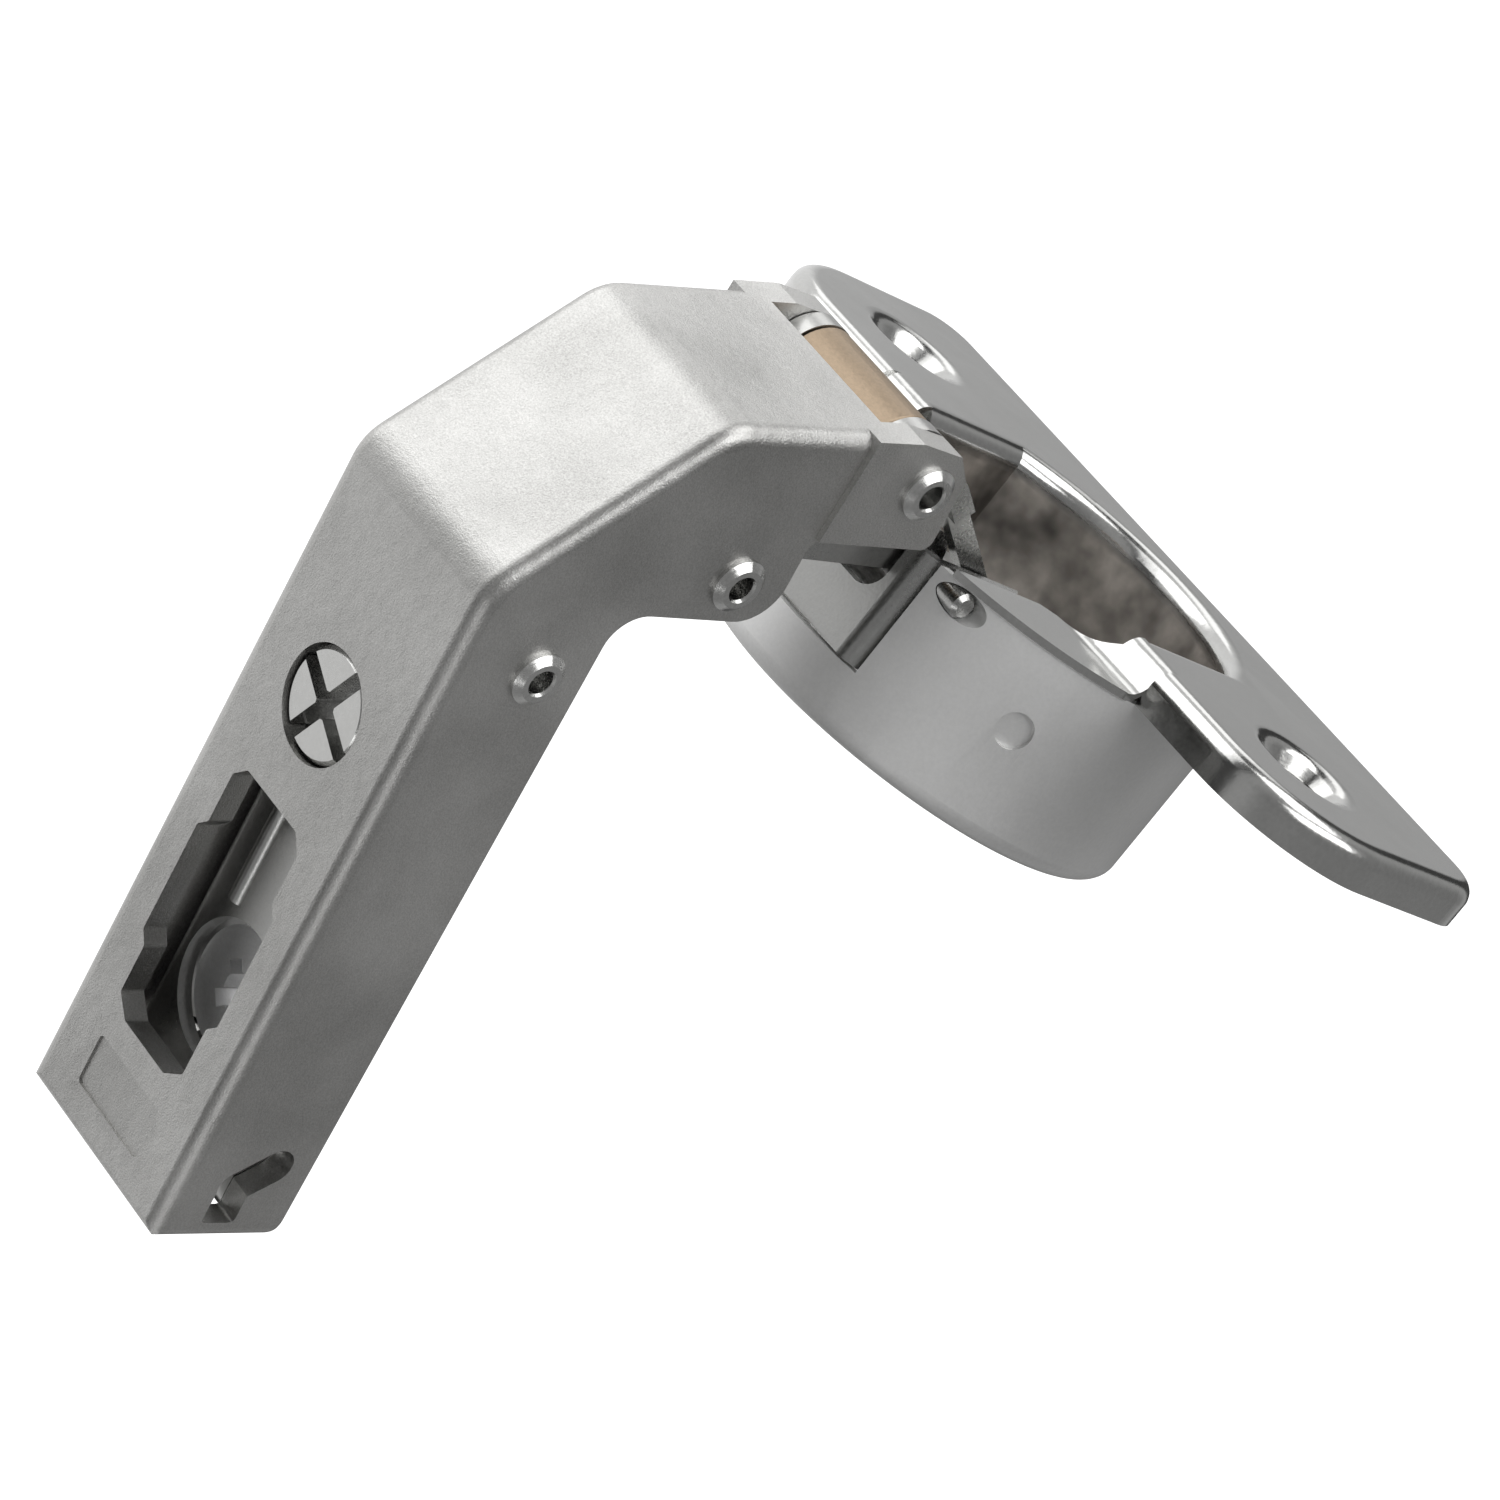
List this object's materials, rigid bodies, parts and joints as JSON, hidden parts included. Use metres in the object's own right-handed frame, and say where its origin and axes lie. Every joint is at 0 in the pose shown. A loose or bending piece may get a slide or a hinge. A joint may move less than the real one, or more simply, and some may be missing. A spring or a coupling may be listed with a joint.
{
  "type": "concealed cup hinge",
  "caption": "Concealed cabinet hinge for a blind corner: bent clip-on arm with two levers swinging a round pressed cup with a screw flange.",
  "frame": {"origin": "rear end of the arm, in the plane of the channel's open rim, on the plane of symmetry", "axes": "X along the arm toward the bent head, Y out of the channel's closed top, Z along the pivot pins, which stand upright in use"},
  "size_m": [0.0663, 0.0726, 0.0674],
  "materials": {
    "arm_casting": "satin nickel-plated casting",
    "adapter_steel": "satin nickel-plated steel",
    "rivet_steel": "burnished steel",
    "screw_steel": "satin steel",
    "cam_zinc": "dull cast zinc",
    "lever_steel": "nickel-plated pressed steel",
    "cup_steel": "polished nickel-plated steel",
    "sleeve_brass": "dull tan metal",
    "spring_wire": "drawn wire",
    "shoe_plastic": "matt"
  },
  "bodies": {
    "arm": {"hinge_arm": "arm_casting", "adapter_pivot_rivet": "rivet_steel", "inner_lever_rivet": "rivet_steel", "outer_lever_rivet": "rivet_steel", "closing_spring": "spring_wire", "spring_shoe": "shoe_plastic"},
    "adapter": {"adapter_channel": "adapter_steel", "catch_pin": "rivet_steel", "catch_spring": "spring_wire"},
    "cam": {"depth_cam": "cam_zinc"},
    "screw": {"overlay_screw": "screw_steel"},
    "catch": {"catch_lever": "adapter_steel"},
    "lever_out": {"outer_lever": "lever_steel", "pivot_sleeve": "sleeve_brass"},
    "cup": {"cup_shell": "cup_steel", "flange_plate": "cup_steel", "lever_bracket": "lever_steel", "wall_pin": "rivet_steel", "deep_pin": "rivet_steel"},
    "lever_in": {"inner_lever": "lever_steel"}
  },
  "joints": [
    {"name": "outer_lever_swing", "type": "hinge", "parent": "arm", "child": "lever_out", "pos_m": [0.0627, -0.0198, 0], "axis": [0, 0, -1], "range_deg": [0, 34.9]},
    {"name": "door_swing", "type": "hinge", "parent": "lever_out", "child": "cup", "pos_m": [0.05016, -0.03188, 0], "axis": [0, 0, 1], "range_deg": [0, 138.9]},
    {"name": "inner_lever_swing", "type": "hinge", "parent": "cup", "child": "lever_in", "pos_m": [0.05445, -0.028, 0], "axis": [0, 0, -1], "range_deg": [0, 156.7]},
    {"name": "adapter_tilt", "type": "hinge", "parent": "arm", "child": "adapter", "pos_m": [0.0463, 0.0036, 0], "axis": [0, 0, 1], "range_deg": [-2, 2]},
    {"name": "overlay_screw_turn", "type": "hinge", "parent": "arm", "child": "screw", "pos_m": [0.0372, 0.0108, 0], "axis": [0, 1, 0], "range_deg": [-180, 180]},
    {"name": "depth_cam_turn", "type": "hinge", "parent": "adapter", "child": "cam", "pos_m": [0.0137, 0.0054, 0], "axis": [0, 1, 0], "range_deg": [-90, 90]},
    {"name": "catch_release", "type": "hinge", "parent": "adapter", "child": "catch", "pos_m": [0.0062, 0.0026, 0], "axis": [0, 0, 1], "range_deg": [0, 14]}
  ],
  "couplings": [
    {"joint": "outer_lever_swing", "follows": "door_swing", "ratio": 0.25126},
    {"joint": "inner_lever_swing", "follows": "door_swing", "ratio": 1.1281},
    {"joint": "overlay_screw_turn", "follows": "adapter_tilt", "ratio": 90}
  ]
}
